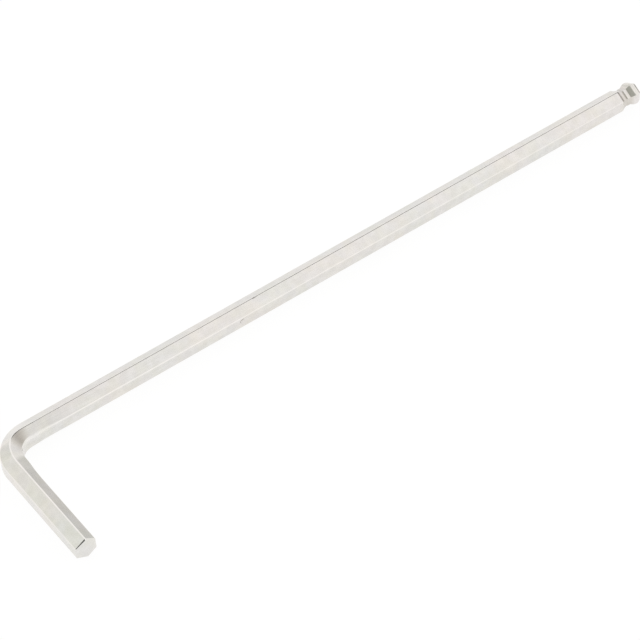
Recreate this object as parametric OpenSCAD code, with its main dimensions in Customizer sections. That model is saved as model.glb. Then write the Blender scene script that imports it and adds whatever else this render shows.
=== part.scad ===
// Long arm hex key with a ball end: one bar of hexagonal steel, bent once.
// It lies flat on the edges that run along its underside. The long arm points
// along +X to the ball, the short arm along -Y, and Z = 0 is the bench.

/* [Bar] */
// Width across flats, the size of the screws that the key fits
across_flats = 4; // [3:0.1:6]
// Radius that softens each long edge of the bar
edge_r = 0.3; // [0.1:0.05:0.6]

/* [Arms] */
// Length of the long arm, from the outside of the bend to the tip of the ball
long_len = 144; // [90:1:220]
// Length of the short arm, from the outside of the bend to its end
short_len = 29; // [20:0.5:45]
// Radius of the bar's centre line in the bend
bend_r = 5.6; // [4:0.1:10]

/* [Short end] */
// Size of the 45 degree break round the end face
end_break = 0.2; // [0.1:0.05:0.4]

/* [Ball end] */
// How much narrower than the bar the ball is at its widest, across flats
ball_relief = 0.04; // [0.02:0.01:0.3]
// Radius of the curve from the ball's widest place back to the neck
ball_back_r = 2.3; // [2:0.05:2.7]
// Radius of the curve from the ball's widest place to the tip
ball_front_r = 1.6; // [1.4:0.05:1.9]
// Distance from the tip back to where those two curves meet
tip_to_crown = 1.1; // [0.8:0.05:1.2]
// Distance between the middles of those two curves, along the arm
crown_len = 0.1; // [0.05:0.01:0.2]
// Distance from the tip back to the step in the neck
tip_to_step = 3.25; // [3:0.05:4]
// Depth of the neck's deepest place below each flat of the bar
neck_depth = 0.5; // [0.35:0.01:0.7]
// Height of the step, from the deepest place up to the land behind the ball
step_rise = 0.07; // [0.04:0.01:0.1]
// Radius of the hollow at the foot of the step
step_hollow_r = 0.4; // [0.25:0.05:0.6]
// Radius of the hollow that runs down from the full bar to the step
shoulder_hollow_r = 3.1; // [2:0.1:5]
// How far past the step that hollow would be at its deepest
shoulder_lead = 0.48; // [0.2:0.02:0.8]

/* [Hidden] */
$fn = 96;
SIDES = 6;
TURN = 360 / SIDES;
// How far a cutter reaches past what it cuts
over = 1;
// How far a curve overlaps what it runs into, so that the two always cross
lap = 0.0002;

// Half of the width across flats, and the bar's corner before it is rounded
half_flats = across_flats / 2;
half_corners = half_flats / cos(TURN / 2);
// Distance from the bar's axis to the middle of an edge rounding
edge_centre = half_corners - edge_r / cos(TURN / 2);
// Height of the bar's axis above the bench
axis_height = edge_centre + edge_r + lap;

// Ends of the two arms, counted from where their centre lines would cross
tip_x = long_len - half_flats;
short_end = short_len - half_flats;

// Ball: half width at its widest, and how far each curve's middle is from the axis
crown_half = half_flats - ball_relief / 2;
back_centre = crown_half - ball_back_r;
front_centre = crown_half - ball_front_r;

// Neck: half widths at its deepest place and at the land behind the ball. Its
// deepest place is counted from the tip, so it is negative. The shoulder's
// hollow stops a little before it, where the hollow at the step is the deeper.
neck_half = half_flats - neck_depth;
land_half = neck_half + step_rise;
neck_x = -tip_to_step;
hand_over = step_hollow_r * shoulder_lead / shoulder_hollow_r;
shoulder_centre = neck_half + sqrt(pow(shoulder_hollow_r, 2) - pow(shoulder_lead, 2));

// The bar in section: a hexagon that stands on a corner, with each edge rounded
module bar_section() {
    corners = [for (i = [0:SIDES - 1]) TURN * (i + 0.5)];
    polygon([
        for (corner = corners, lean = [-TURN / 2, TURN / 2])
            edge_centre * [cos(corner), sin(corner)]
                + edge_r * [cos(corner + lean), sin(corner + lean)]
    ]);
    for (corner = corners)
        rotate(corner)
            translate([edge_centre, 0])
                circle(r = edge_r + lap);
}

module long_bar() {
    translate([bend_r, 0, 0])
        rotate([90, 0, 90])
            linear_extrude(tip_x - bend_r)
                bar_section();
}

module bend() {
    translate([bend_r, -bend_r, 0])
        rotate([0, 0, 90])
            rotate_extrude(angle = 90)
                translate([bend_r, 0])
                    bar_section();
}

module short_bar() {
    translate([0, -bend_r, 0])
        rotate([90, 0, 0])
            linear_extrude(short_end - bend_r)
                bar_section();
}

// What is milled off one side to leave the neck and the ball: X runs along
// the arm with 0 at the tip, and Y is the distance from the arm's axis
module ball_cut_outline() {
    // the hollow from the shoulder down to the step
    intersection() {
        translate([neck_x + shoulder_lead, shoulder_centre])
            circle(r = shoulder_hollow_r);
        translate([neck_x - hand_over - 2 * shoulder_hollow_r, 0])
            square([2 * shoulder_hollow_r, half_flats + over]);
    }
    // the hollow at the foot of the step
    translate([neck_x, neck_half + step_hollow_r])
        circle(r = step_hollow_r);
    // everything above the land and outside the back of the ball
    difference() {
        translate([neck_x - 2 * hand_over, land_half])
            square([over - neck_x + 2 * hand_over, half_flats + over - land_half]);
        translate([-tip_to_crown + crown_len / 2, back_centre])
            circle(r = ball_back_r);
    }
    // everything outside the front of the ball
    difference() {
        translate([-tip_to_crown - crown_len / 2, 0])
            square([over + tip_to_crown + crown_len / 2, half_flats + over]);
        translate([-tip_to_crown - crown_len / 2, front_centre])
            circle(r = ball_front_r);
    }
}

module ball_cut() {
    linear_extrude(4 * half_corners, center = true)
        ball_cut_outline();
}

// The 45 degree break on one side of the short arm's end, with the end at Y = 0
module end_cut() {
    far = half_flats + over;
    linear_extrude(4 * half_corners, center = true)
        polygon([
            [far, -over],
            [far, end_break + over],
            [half_flats - end_break - over, -over]
        ]);
}

module hex_key() {
    color("gainsboro")
        translate([half_flats - long_len / 2, short_len / 2 - half_flats, axis_height])
            difference() {
                union() {
                    long_bar();
                    bend();
                    short_bar();
                }
                for (i = [0:SIDES - 1]) {
                    translate([tip_x, 0, 0])
                        rotate([TURN * i, 0, 0])
                            ball_cut();
                    translate([0, -short_end, 0])
                        rotate([0, TURN * i, 0])
                            end_cut();
                }
            }
}

hex_key();
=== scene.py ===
import math

import bmesh
import bpy
from mathutils import Matrix, Vector


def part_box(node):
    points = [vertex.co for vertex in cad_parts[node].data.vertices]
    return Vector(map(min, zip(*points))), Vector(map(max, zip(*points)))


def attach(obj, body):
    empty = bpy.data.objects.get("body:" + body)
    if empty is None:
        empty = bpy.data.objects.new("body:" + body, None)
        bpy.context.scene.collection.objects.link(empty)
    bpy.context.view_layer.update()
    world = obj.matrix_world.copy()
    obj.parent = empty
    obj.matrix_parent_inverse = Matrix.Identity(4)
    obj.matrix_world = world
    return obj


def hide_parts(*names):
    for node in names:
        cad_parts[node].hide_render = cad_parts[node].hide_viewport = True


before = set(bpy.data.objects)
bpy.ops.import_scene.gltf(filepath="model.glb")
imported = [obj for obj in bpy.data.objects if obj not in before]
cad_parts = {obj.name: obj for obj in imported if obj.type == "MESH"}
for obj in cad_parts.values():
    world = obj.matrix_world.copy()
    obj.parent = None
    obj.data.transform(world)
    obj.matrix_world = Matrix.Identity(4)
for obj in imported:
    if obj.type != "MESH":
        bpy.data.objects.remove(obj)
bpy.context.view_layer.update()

# The bar: one length of hexagonal tool steel, 4 mm across its flats, with each
# long edge slightly round from the drawing die. It is cut, milled at one end and
# bent cold. All sizes are in millimetres, until the mesh is written in metres.
MM = 0.001
SIDES = 6
HALF_TURN = math.pi / SIDES
HALF_FLATS = 2.0
EDGE_R = 0.3
BEND_R = 5.6

low, high = (Vector(corner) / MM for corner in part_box("hex_key"))
TIP_X = high.x - low.x - HALF_FLATS
SHORT_END = high.y - low.y - HALF_FLATS
SHORT_STRAIGHT = SHORT_END - BEND_R
BEND_LENGTH = BEND_R * math.pi / 2
BEND_END = SHORT_STRAIGHT + BEND_LENGTH
BAR_LENGTH = BEND_END + TIP_X - BEND_R
CORNER = Vector((low.x + HALF_FLATS, high.y - HALF_FLATS, (low.z + high.z) / 2))


def centre_line(along):
    """The middle of the bar and its direction, at a distance along it from the short end."""
    if along < SHORT_STRAIGHT:
        return CORNER + Vector((0, along - SHORT_END, 0)), math.pi / 2
    turned = (along - SHORT_STRAIGHT) / BEND_R
    if turned < math.pi / 2:
        out = Vector((1 - math.cos(turned), math.sin(turned) - 1, 0))
        return CORNER + BEND_R * out, math.pi / 2 - turned
    return CORNER + Vector((TIP_X + along - BAR_LENGTH, 0, 0)), 0.0


# The bend: made cold, which pushes the section out of shape. The upper and the lower
# edge drift outwards in the bend and a little inwards on the short arm, the inside
# swells where the bend starts and ends, and the long arm's inner edges spread.
EDGE_DRIFT = 0.42
DRIFT_LEAN = 1.4
SHORT_DRIFT = -0.2
SWELLING = 0.28
SWELLING_WIDTH = 1.8
SPREAD_R = 1.15
SPREAD_PLACE = (BEND_END + 0.6, 2.7)
LEAST_SPREAD = 0.01

# Middle and width of the places where the inner sloping flats get painted shade, in and past the
# bend
SHADE_AT_INNER_EDGE = (BEND_END - 3.0, 1.7)
SHADE_AT_TOP_EDGE = (BEND_END - 2.3, 1.4)
SHADE_ON_LONG_ARM = (BEND_END + 2.5, 3.5)
LONG_ARM_SHADE = 0.25


def ease(share):
    """A smooth step from 0 to 1."""
    share = min(max(share, 0), 1)
    return share * share * (3 - 2 * share)


def rise(along, middle, width):
    """A smooth rise to 1 and back, at a distance along the bar."""
    return math.exp(-(((along - middle) / width) ** 2) / 2)


def edge_drift(along):
    """How far the upper and lower edges lie outside the middle of the bar."""
    turned = min(max((along - SHORT_STRAIGHT) / BEND_LENGTH, 0), 1)
    in_bend = math.sin(math.pi * turned**DRIFT_LEAN) ** 2
    return EDGE_DRIFT * in_bend + SHORT_DRIFT * (1 - ease(turned))


def swelling(along):
    """How far the inside of the bar has swollen."""
    return SWELLING * sum(rise(along, end, SWELLING_WIDTH) for end in (SHORT_STRAIGHT, BEND_END))


def inner_edge_r(along):
    """Radius of the two edges on the inside of the bend."""
    grown = rise(along, *SPREAD_PLACE)
    return EDGE_R + (SPREAD_R - EDGE_R) * (grown if grown > LEAST_SPREAD else 0)


def bend_painted_shade(along, innermost):
    """How much painted shade the inner sloping flats get, at their innermost edge or at their other
    one.
    """
    in_bend = rise(along, *(SHADE_AT_INNER_EDGE if innermost else SHADE_AT_TOP_EDGE))
    return max(in_bend, LONG_ARM_SHADE * rise(along, *SHADE_ON_LONG_ARM))


# The ball: a neck and a six-sided ball, milled on the end of the long arm one flat
# at a time. The neck falls to a small step, and the sides of the ball rise from the
# land in front of it: a wide arc, then a tighter one to the tip. Places along the
# arm are counted from the tip, so they are negative.
CROWN_HALF = 1.98
BACK_R = 2.3
FRONT_R = 1.6
TIP_TO_CROWN = 1.1
CROWN_LEN = 0.1
TIP_TO_STEP = 3.25
NECK_HALF = 1.5
STEP_RISE = 0.07
STEP_R = 0.4
SHOULDER_R = 3.1
SHOULDER_LEAD = 0.48
LAND_HALF = NECK_HALF + STEP_RISE
SHOULDER_CENTRE = NECK_HALF + math.sqrt(SHOULDER_R**2 - SHOULDER_LEAD**2)

SHOULDER_MIDDLE = SHOULDER_LEAD - TIP_TO_STEP
SHOULDER = SHOULDER_MIDDLE - math.sqrt(SHOULDER_R**2 - (SHOULDER_CENTRE - HALF_FLATS) ** 2)
HAND_OVER = -2 * STEP_R * SHOULDER_LEAD / SHOULDER_R - TIP_TO_STEP
STEP_TOP = math.sqrt(STEP_R**2 - (STEP_R - STEP_RISE) ** 2) - TIP_TO_STEP
BACK_MIDDLE = -TIP_TO_CROWN + CROWN_LEN / 2
FRONT_MIDDLE = -TIP_TO_CROWN - CROWN_LEN / 2
FOOT = BACK_MIDDLE - math.sqrt(BACK_R**2 - (LAND_HALF - CROWN_HALF + BACK_R) ** 2)


def bulge(at, middle, radius):
    """Half width at a place on one of the ball's arcs, which swells to the crown at its middle."""
    return CROWN_HALF - radius + math.sqrt(radius**2 - (at - middle) ** 2)


def flats_at(along):
    """Distance from the bar's axis to its flats, at a distance along it from the short end."""
    at = along - BAR_LENGTH
    past_step = at + TIP_TO_STEP
    half = HALF_FLATS
    if -SHOULDER_R < past_step - SHOULDER_LEAD and past_step < 0:
        fall = math.sqrt(SHOULDER_R**2 - (past_step - SHOULDER_LEAD) ** 2)
        half = min(half, SHOULDER_CENTRE - fall)
    if abs(past_step) < STEP_R:
        half = min(half, NECK_HALF + STEP_R - math.sqrt(STEP_R**2 - past_step**2))
    if past_step >= 0:
        half = min(half, LAND_HALF)
        if past_step > SHOULDER_LEAD:
            half = LAND_HALF
        back_arc = bulge(at, BACK_MIDDLE, BACK_R)
        if back_arc > LAND_HALF:
            half = back_arc
        if at > FRONT_MIDDLE:
            half = min(half, bulge(at, FRONT_MIDDLE, FRONT_R))
    return half


# Painted shade in the neck: even on five sides, and in bands on the side that lies
# uppermost towards the inside. Each band has a middle and a width, counted from the
# step towards the tip, and its share. The top of the step gets less of it and is left brighter.
SIDES_SHADE = 0.38
SIDES_FADE = 0.8
BANDED_SHADE = 0.22
BANDED_PAST_FOOT = 0.2
SHADE_BANDS = [
    (-0.82, 0.17, 0.5),
    (-0.02, 0.1, 0.85),
    (0.22, 0.1, -0.24),
]


def neck_painted_shade(along, angle):
    """How much painted shade the neck gets, at a distance along the bar and an angle round it."""
    past_foot = along - BAR_LENGTH - FOOT
    if not HALF_TURN < angle < 3 * HALF_TURN:
        return SIDES_SHADE * (1 - ease(past_foot / SIDES_FADE))
    if past_foot > BANDED_PAST_FOOT:
        return 0.0
    band_shade = BANDED_SHADE
    for middle, width, share in SHADE_BANDS:
        band_shade += share * rise(along - BAR_LENGTH + TIP_TO_STEP, middle, width)
    return min(band_shade, 1)


# The bar in section: six flats, with the points of each long edge spread over its
# rounding. On the neck and the ball the flats come in and cut the rounding away,
# which leaves crisp corners that are only just dulled by the plating.
EDGE_STEPS = 12
EDGE_POINTS = EDGE_STEPS + 1
INNER_EDGES = (0, SIDES - 1)
CRISP_R = 0.05


def edge_end(half, radius):
    """How far a long edge's rounding reaches to each side, as an angle seen from the axis."""
    middle = (half - radius) / math.cos(HALF_TURN)
    return math.atan2(radius * math.sin(HALF_TURN), middle + radius * math.cos(HALF_TURN))


def rounded_reach(half, radius, off):
    """From the axis to the surface, in a direction that is `off` away from a long edge."""
    if abs(off) >= edge_end(half, radius):
        return half / math.cos(HALF_TURN - abs(off))
    middle = (half - radius) / math.cos(HALF_TURN)
    return middle * math.cos(off) + math.sqrt(radius**2 - (middle * math.sin(off)) ** 2)


def edge_spread(half):
    """Half of the angle that is left to a long edge, where the flats have cut into it."""
    middle = (HALF_FLATS - EDGE_R) / math.cos(HALF_TURN)
    cut = min(max((half - HALF_FLATS + EDGE_R) / EDGE_R, math.cos(HALF_TURN)), 1)
    lean = HALF_TURN - math.acos(cut)
    cut_spread = math.atan2(EDGE_R * math.sin(lean), middle + EDGE_R * math.cos(lean))
    return max(cut_spread, edge_end(half, CRISP_R))


def section(half, inner_r):
    """(angle, distance) of the points round the bar, from the level of its axis."""
    points = []
    for side in range(SIDES):
        radius = inner_r if side in INNER_EDGES else EDGE_R
        spread = edge_spread(half) if radius == EDGE_R else edge_end(half, radius)
        for step in range(EDGE_POINTS):
            off = spread * (2 * step / EDGE_STEPS - 1)
            reach = rounded_reach(HALF_FLATS, radius, off)
            if half < HALF_FLATS:
                reach = min(reach, rounded_reach(half, CRISP_R, off))
            points.append(((2 * side + 1) * HALF_TURN + off, reach))
    return points


# The short end: cut off and ground, a little out of square, so that the break round
# its face is full at the upper edge and tapers away to almost nothing at the lower.
END_BREAK = 0.2
LEAST_BREAK = 0.04
BREAK_TAPER = 8


def end_break_at(angle):
    """Size of the break, at an angle round the bar."""
    taper = math.cos((angle - math.pi / 2) / 2) ** BREAK_TAPER
    return END_BREAK * (LEAST_BREAK + (1 - LEAST_BREAK) * taper)


# The whole bar as one skin: a ring of points at each place along it, close together
# where the shape changes. Each point also carries the state of its plate.
BEND_STEPS = 60
ARC_STEPS = 18
BEFORE_BEND = (6, 5, 4, 3, 2.5, 2, 1.5, 1, 0.5)
PAST_BEND_STEPS = 20
PAST_BEND_GAP = 0.5


def arc_places(middle, radius, start, end):
    """Places along an arc of the milled end, evenly spread over its slopes."""
    first = math.asin((start - middle) / radius)
    last = math.asin((end - middle) / radius)
    leans = [first + (last - first) * i / ARC_STEPS for i in range(ARC_STEPS + 1)]
    return [BAR_LENGTH + middle + radius * math.sin(lean) for lean in leans]


places = [0, END_BREAK, SHORT_STRAIGHT / 2]
places += [SHORT_STRAIGHT - off for off in BEFORE_BEND]
places += [SHORT_STRAIGHT + BEND_LENGTH * i / BEND_STEPS for i in range(BEND_STEPS + 1)]
places += [BEND_END + PAST_BEND_GAP * i for i in range(1, PAST_BEND_STEPS + 1)]
places += arc_places(SHOULDER_MIDDLE, SHOULDER_R, SHOULDER, HAND_OVER)
places += arc_places(-TIP_TO_STEP, STEP_R, HAND_OVER, STEP_TOP)[1:]
places += arc_places(BACK_MIDDLE, BACK_R, FOOT, -TIP_TO_CROWN)
places += arc_places(FRONT_MIDDLE, FRONT_R, -TIP_TO_CROWN, 0)[1:]

# Points at the borders of the sloping flats, on the inside and the outside of the bend
INNERMOST = (EDGE_STEPS, 5 * EDGE_POINTS)
INNER_SLOPES = INNERMOST + (EDGE_POINTS, 5 * EDGE_POINTS - 1)
OUTER_SLOPES = tuple(edge * EDGE_POINTS + side for edge in (2, 4) for side in (-1, 0))
# Middle and width of the places where those flats get a painted highlight
HIGHLIGHT_OUTSIDE = (BEND_END - 1.2, 1.6)
HIGHLIGHT_INSIDE = (SHORT_STRAIGHT + 1.3, 1.8)
INSIDE_HIGHLIGHT = 0.65
FAR_EDGE_POLISH = 0.3


def polish_and_highlight_at(along, n, inner_r, plain):
    """How far point n of a ring is brightened: edges by polish from use, sloping flats by a painted
    highlight.
    """
    if n in OUTER_SLOPES:
        return rise(along, *HIGHLIGHT_OUTSIDE)
    if n in INNER_SLOPES:
        return INSIDE_HIGHLIGHT * rise(along, *HIGHLIGHT_INSIDE)
    edge, step = divmod(n, EDGE_POINTS)
    if step in (0, EDGE_STEPS):
        return 0.0
    if not plain or along > BAR_LENGTH / 2:
        return FAR_EDGE_POLISH
    return EDGE_R / inner_r if edge in INNER_EDGES else 1.0


def painted_shade_at(along, n, angle):
    """How much painted shade point n of a ring gets."""
    if along > BAR_LENGTH + SHOULDER:
        return neck_painted_shade(along, angle)
    return bend_painted_shade(along, n in INNERMOST) if n in INNER_SLOPES else 0.0


mesh = bpy.data.meshes.new("hex_key_bar")
bm = bmesh.new()
uv = bm.loops.layers.uv.new("along_and_round")
# Polish from use on the edges, and a painted highlight on the bend's sloping flats
polish_and_highlight = bm.verts.layers.float.new("polish_and_highlight")
milled = bm.verts.layers.float.new("milled")
# Painted shade in the neck and on the inside of the bend
painted_shade = bm.verts.layers.float.new("painted_shade")
SIDE_CORNER = HALF_FLATS * math.tan(HALF_TURN)
TOP_CORNER = HALF_FLATS / math.cos(HALF_TURN)
rings = []
for along in places:
    half = flats_at(along)
    plain = along > 0 and half == HALF_FLATS
    inner_r = inner_edge_r(along) if plain else EDGE_R
    ring = []
    for n, (angle, reach) in enumerate(section(half, inner_r)):
        end_break = end_break_at(angle)
        if along == 0:
            reach *= 1 - end_break / HALF_FLATS
        centre, heading = centre_line(end_break if along == END_BREAK else along)
        inward = Vector((math.sin(heading), -math.cos(heading), 0))
        height = reach * math.sin(angle)
        aside = reach * math.cos(angle) + swelling(along) * max(math.cos(angle), 0)
        aside -= edge_drift(along) * max(abs(height) - SIDE_CORNER, 0) / (TOP_CORNER - SIDE_CORNER)
        vert = bm.verts.new((centre + aside * inward + Vector((0, 0, height))) * MM)
        vert[polish_and_highlight] = polish_and_highlight_at(along, n, inner_r, plain)
        vert[milled] = 0.0 if plain else 1.0
        vert[painted_shade] = painted_shade_at(along, n, angle)
        ring.append(vert)
    rings.append(ring)
around = len(rings[0])
SIDE_WIDTH = 2 * SIDE_CORNER
EDGE_SHARE = 0.2
for i, (ring, after) in enumerate(zip(rings, rings[1:])):
    for n in range(around):
        corners = (ring[n], ring[(n + 1) % around], after[(n + 1) % around], after[n])
        face = bm.faces.new(corners)
        for loop, (a, r) in zip(face.loops, ((i, n), (i, n + 1), (i + 1, n + 1), (i + 1, n))):
            side, step = divmod(r, EDGE_POINTS)
            share = side + step / EDGE_STEPS * EDGE_SHARE
            loop[uv].uv = (places[a] * MM, share * SIDE_WIDTH * MM)
end_faces = [bm.faces.new(list(reversed(rings[0]))), bm.faces.new(rings[-1])]
for face in end_faces:
    across = (face.verts[0].co - face.calc_center_median()).normalized()
    for loop in face.loops:
        off = loop.vert.co - face.calc_center_median()
        loop[uv].uv = (off.dot(across), off.cross(across).length)
bmesh.ops.recalc_face_normals(bm, faces=bm.faces)
CREASE = math.radians(16)
for edge in bm.edges:
    edge.smooth = edge.calc_face_angle(0) < CREASE
for face in bm.faces:
    face.smooth = True
bm.to_mesh(mesh)
bm.free()
bar = bpy.data.objects.new("hex_key_bar", mesh)
bpy.context.scene.collection.objects.link(bar)
level = bar.modifiers.new("even_flats", "WEIGHTED_NORMAL")
level.keep_sharp = True
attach(bar, "root")
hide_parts("hex_key")

# The finish: satin nickel plate on the drawn steel. Faint drawing lines run along
# the bar under the plate, and cutter marks run across its milled end. The colour
# drifts a little between warm and cool, and the long edges are polished by use.
plate = bpy.data.materials.new("satin_nickel_plate")
plate.use_nodes = True
tree = plate.node_tree
shader = tree.nodes["Principled BSDF"]
shader.inputs["Metallic"].default_value = 1.0


def add(kind, **settings):
    """A new node in the tree at hand, with its settings and the values of its inputs."""
    made = tree.nodes.new(kind)
    for name, value in settings.items():
        if name in made.inputs:
            made.inputs[name].default_value = value
        else:
            setattr(made, name, value)
    return made


def join(source, target):
    tree.links.new(source, target)


def span(source, low_in, high_in, low_out, high_out):
    """The source's values, carried from one range to another and held at its ends."""
    ranged = add("ShaderNodeMapRange")
    for n, value in enumerate((low_in, high_in, low_out, high_out), 1):
        ranged.inputs[n].default_value = value
    join(source, ranged.inputs["Value"])
    return ranged.outputs["Result"]


def blend(amount, first, second, **settings):
    """A colour that runs from the first to the second, each a colour or another node's."""
    mix = add("ShaderNodeMix", data_type="RGBA", **settings)
    join(amount, mix.inputs[0])
    for socket, colour in ((mix.inputs[6], first), (mix.inputs[7], second)):
        if isinstance(colour, tuple):
            socket.default_value = (*colour, 1)
        else:
            join(colour, socket)
    return mix.outputs[2]


def tint(amount, colour, by):
    """The colour, multiplied by another one as far as the amount says."""
    return blend(amount, colour, by, blend_type="MULTIPLY")


def noise(vector, scale, detail):
    """Noise with about so many blotches to each unit of the vector."""
    made = add("ShaderNodeTexNoise", Scale=scale, Detail=detail)
    join(vector, made.inputs["Vector"])
    return made.outputs["Fac"]


COOL = (0.805, 0.808, 0.797)
WARM = (0.831, 0.812, 0.797)
YELLOWED = (1.0, 1.0, 0.965)
LINED = (0.95, 0.95, 0.95)
CLOUDED = (0.945, 0.945, 0.94)
# Colour of the painted shade in the neck and on the inside of the bend
PAINTED_SHADE_TINT = (0.62, 0.59, 0.565)
# Colour of the polished edges and of the painted highlight on the bend's sloping flats
POLISHED_AND_LIT = (0.93, 0.915, 0.89)
MOST_LINED = 0.6
MOST_POLISHED_AND_LIT = 0.45
SMOOTHEST = 0.13
ROUGHEST = 0.19
SMOOTHER_BY_POLISH = 0.06
LINES_ALONG = (130, 4200, 1)
LINES_ACROSS = (4200, 240, 1)
coords = add("ShaderNodeTexCoord")
lines = []
for scale in (LINES_ALONG, LINES_ACROSS):
    stretch = add("ShaderNodeMapping", Scale=scale)
    join(coords.outputs["UV"], stretch.inputs["Vector"])
    lines.append(noise(stretch.outputs["Vector"], 1.0, 3.0))
cutter = add("ShaderNodeAttribute", attribute_name="milled")
marks = add("ShaderNodeMix", data_type="FLOAT")
join(cutter.outputs["Fac"], marks.inputs[0])
join(lines[0], marks.inputs[2])
join(lines[1], marks.inputs[3])
drift = noise(coords.outputs["Object"], 150.0, 2.5)
tarnish = noise(coords.outputs["Object"], 420.0, 2.0)
cloud = noise(coords.outputs["Object"], 700.0, 2.0)
grain = noise(coords.outputs["Object"], 5200.0, 2.0)
polish_and_light = add("ShaderNodeAttribute", attribute_name="polish_and_highlight")
shade_map = add("ShaderNodeAttribute", attribute_name="painted_shade")

tone = blend(span(drift, 0.38, 0.62, 0, 1), COOL, WARM)
tone = tint(span(tarnish, 0.4, 0.62, 0, 1), tone, YELLOWED)
tone = tint(span(marks.outputs[0], 0.35, 0.75, 0, MOST_LINED), tone, LINED)
tone = tint(span(cloud, 0.38, 0.62, 0, 1), tone, CLOUDED)
# Painted shade in the neck and on the inside of the bend
tone = tint(shade_map.outputs["Fac"], tone, PAINTED_SHADE_TINT)
# Polish on the edges, and a painted highlight on the bend's sloping flats
tone = blend(span(polish_and_light.outputs["Fac"], 0, 1, 0, MOST_POLISHED_AND_LIT), tone, POLISHED_AND_LIT)

# Nicks in the plate: a dent on the long arm's upper edge, and a hook-shaped scratch,
# in two strokes, below its inner edge.
NICKED = (0.45, 0.43, 0.40)
NICK_BORDER = 0.5
NICKS = [
    # middle, half size (mm), turn round Y (radians), share of the nick's shade
    ((-16.35, 12.38, 4.50), (0.54, 0.20, 0.20), 0.0, 0.55),
    ((-20.27, 10.50, 3.01), (0.46, 0.30, 0.12), -0.29, 0.95),
    ((-20.66, 10.50, 2.66), (0.12, 0.30, 0.30), 0.0, 0.85),
]
for middle, half_size, turn, share in NICKS:
    nick = add("ShaderNodeMapping", vector_type="TEXTURE")
    nick.inputs["Location"].default_value = Vector(middle) * MM
    nick.inputs["Rotation"].default_value = (0, turn, 0)
    nick.inputs["Scale"].default_value = Vector(half_size) * MM
    join(coords.outputs["Object"], nick.inputs["Vector"])
    off_middle = add("ShaderNodeVectorMath", operation="LENGTH")
    join(nick.outputs["Vector"], off_middle.inputs[0])
    tone = tint(span(off_middle.outputs["Value"], NICK_BORDER, 1, share, 0), tone, NICKED)
join(tone, shader.inputs["Base Color"])

satin = add("ShaderNodeMath", operation="SUBTRACT")
join(span(marks.outputs[0], 0.3, 0.7, SMOOTHEST, ROUGHEST), satin.inputs[0])
join(span(polish_and_light.outputs["Fac"], 0, 1, 0, SMOOTHER_BY_POLISH), satin.inputs[1])
join(satin.outputs[0], shader.inputs["Roughness"])

relief = add("ShaderNodeMath", operation="ADD")
join(marks.outputs[0], relief.inputs[0])
join(grain, relief.inputs[1])
texture = add("ShaderNodeBump", Strength=0.05, Distance=0.00002)
join(relief.outputs["Value"], texture.inputs["Height"])
join(texture.outputs["Normal"], shader.inputs["Normal"])
bar.data.materials.append(plate)

# The sheet: matt white paper, flat under the key. It reads as plain white to the
# camera and keeps a faint shadow where the key rests on it. In the plate it shows a
# little warmer, and darker towards the rear.
SHEET_HALF = 1.5
FRONT_Y = 0.012
REAR_Y = 0.032
sheet_mesh = bpy.data.meshes.new("sheet")
corners = [(-1, -1), (1, -1), (1, 1), (-1, 1)]
sheet_mesh.from_pydata([(x * SHEET_HALF, y * SHEET_HALF, 0) for x, y in corners], [], [(0, 1, 2, 3)])
sheet = bpy.data.objects.new("sheet", sheet_mesh)
bpy.context.scene.collection.objects.link(sheet)
paper = bpy.data.materials.new("white_paper")
paper.use_nodes = True
tree = paper.node_tree
tree.nodes.remove(tree.nodes["Principled BSDF"])
matt = add("ShaderNodeBsdfDiffuse", Color=(0.88, 0.88, 0.87, 1))
path = add("ShaderNodeLightPath")
surface = matt.outputs[0]
across_sheet = add("ShaderNodeSeparateXYZ")
join(add("ShaderNodeTexCoord").outputs["Object"], across_sheet.inputs[0])
for kind, shade, front, rear, colour in (
    ("Is Glossy Ray", 0.16, 0.86, 0.82, (1.0, 0.982, 0.970)),
    ("Is Camera Ray", 0.10, 0.93, 0.93, (1.0, 1.0, 1.0)),
):
    faint = add("ShaderNodeBsdfDiffuse", Color=(shade, shade, shade, 1))
    white = add("ShaderNodeEmission", Color=(*colour, 1))
    join(span(across_sheet.outputs["Y"], FRONT_Y, REAR_Y, front, rear), white.inputs["Strength"])
    seen = add("ShaderNodeAddShader")
    join(faint.outputs[0], seen.inputs[0])
    join(white.outputs[0], seen.inputs[1])
    choose = add("ShaderNodeMixShader")
    join(path.outputs[kind], choose.inputs[0])
    join(surface, choose.inputs[1])
    join(seen.outputs[0], choose.inputs[2])
    surface = choose.outputs[0]
join(surface, tree.nodes["Material Output"].inputs["Surface"])
sheet_mesh.materials.append(paper)

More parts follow.
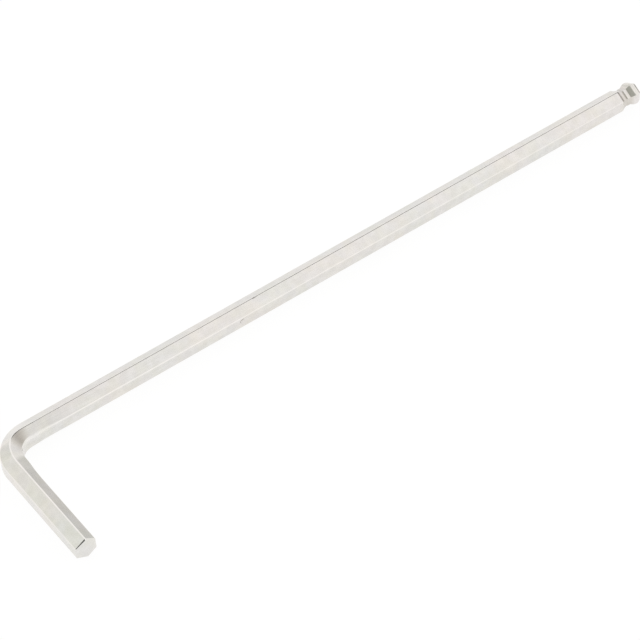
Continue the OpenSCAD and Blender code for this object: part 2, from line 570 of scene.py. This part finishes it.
# The light: a white tent all round, a little darker where its panels meet overhead,
# towards the right, and in the opening that the camera looks through.
world = bpy.data.worlds.new("light_tent")
world.use_nodes = True
bpy.context.scene.world = world
tree = world.node_tree
coords = add("ShaderNodeTexCoord")
ray = add("ShaderNodeVectorMath", operation="NORMALIZE")
join(coords.outputs["Generated"], ray.inputs[0])
TENT = (1.03, 1.005, 0.99)
PANELS = [
    # what it is, towards, full and whole half width (degrees), times the light
    ("opening for the camera", (-0.28, -0.55, 0.79), 27, 34, (0.43, 0.443, 0.415)),
    ("gap under the opening", (-0.43, -0.83, 0.38), 8, 16, (0.10, 0.10, 0.10)),
    ("gap overhead", (0.37, 0.15, 0.91), 12, 17, (0.08, 0.08, 0.08)),
    ("fold on the right", (0.67, -0.18, 0.72), 6, 14, (0.92, 0.92, 0.92)),
    ("fold at the sheet", (0.77, 0.64, 0.05), 6, 15, (0.65, 0.66, 0.65)),
    ("fold above it", (0.88, 0.35, 0.33), 6, 16, (0.90, 0.90, 0.90)),
    ("rear panel", (-0.52, 0.60, 0.60), 10, 22, (0.885, 0.90, 0.875)),
    ("rear panel's foot", (-0.27, 0.90, 0.34), 8, 17, (0.84, 0.85, 0.83)),
    ("gap at the right", (0.99, 0.10, 0.06), 6, 10, (0.16, 0.16, 0.16)),
    ("fold at the rear", (0.28, 0.95, 0.13), 8, 13, (0.78, 0.79, 0.78)),
    ("front panel", (0.27, -0.90, 0.34), 20, 34, (1.06, 1.06, 1.06)),
]
light = TENT
for name, towards, inner, outer, times in PANELS:
    near = add("ShaderNodeVectorMath", operation="DOT_PRODUCT", label=name)
    join(ray.outputs[0], near.inputs[0])
    near.inputs[1].default_value = Vector(towards).normalized()
    fade = add("ShaderNodeMapRange", interpolation_type="SMOOTHSTEP")
    fade.inputs["From Min"].default_value = math.cos(math.radians(outer))
    fade.inputs["From Max"].default_value = math.cos(math.radians(inner))
    join(near.outputs["Value"], fade.inputs["Value"])
    light = tint(fade.outputs["Result"], light, times)
tent = tree.nodes["Background"]
join(light, tent.inputs["Color"])
backdrop = add("ShaderNodeBackground")
backdrop.inputs["Strength"].default_value = 1.0
path = add("ShaderNodeLightPath")
choose = add("ShaderNodeMixShader")
join(path.outputs["Is Camera Ray"], choose.inputs[0])
join(tent.outputs[0], choose.inputs[1])
join(backdrop.outputs[0], choose.inputs[2])
join(choose.outputs[0], tree.nodes["World Output"].inputs["Surface"])
bpy.context.scene.view_settings.view_transform = "Standard"

# The camera: a long lens, half a metre off, that looks down on the key from the
# side of its short arm and is rolled a little.
IMAGE = 640
FOCAL_PIXELS = 3047.08
SENSOR = 36.0
AZIMUTH = math.radians(-33.801)
ELEVATION = math.radians(47.981)
ROLL = math.radians(-3.372)
DISTANCE = 522.22
ASIDE = 54.932
ABOVE = 22.252
back = Vector((
    math.sin(AZIMUTH) * math.cos(ELEVATION),
    -math.cos(AZIMUTH) * math.cos(ELEVATION),
    math.sin(ELEVATION),
))
level_right = Vector((math.cos(AZIMUTH), math.sin(AZIMUTH), 0))
level_up = back.cross(level_right)
right = math.cos(ROLL) * level_right + math.sin(ROLL) * level_up
up = math.cos(ROLL) * level_up - math.sin(ROLL) * level_right
lens = bpy.data.cameras.new("camera")
lens.sensor_width = SENSOR
lens.lens = FOCAL_PIXELS / IMAGE * SENSOR
lens.clip_start = 0.01
camera = bpy.data.objects.new("camera", lens)
bpy.context.scene.collection.objects.link(camera)
place = CORNER + DISTANCE * back + ASIDE * right + ABOVE * up
turn = Matrix((right, up, back)).transposed().to_4x4()
camera.matrix_world = Matrix.Translation(place * MM) @ turn
bpy.context.scene.camera = camera
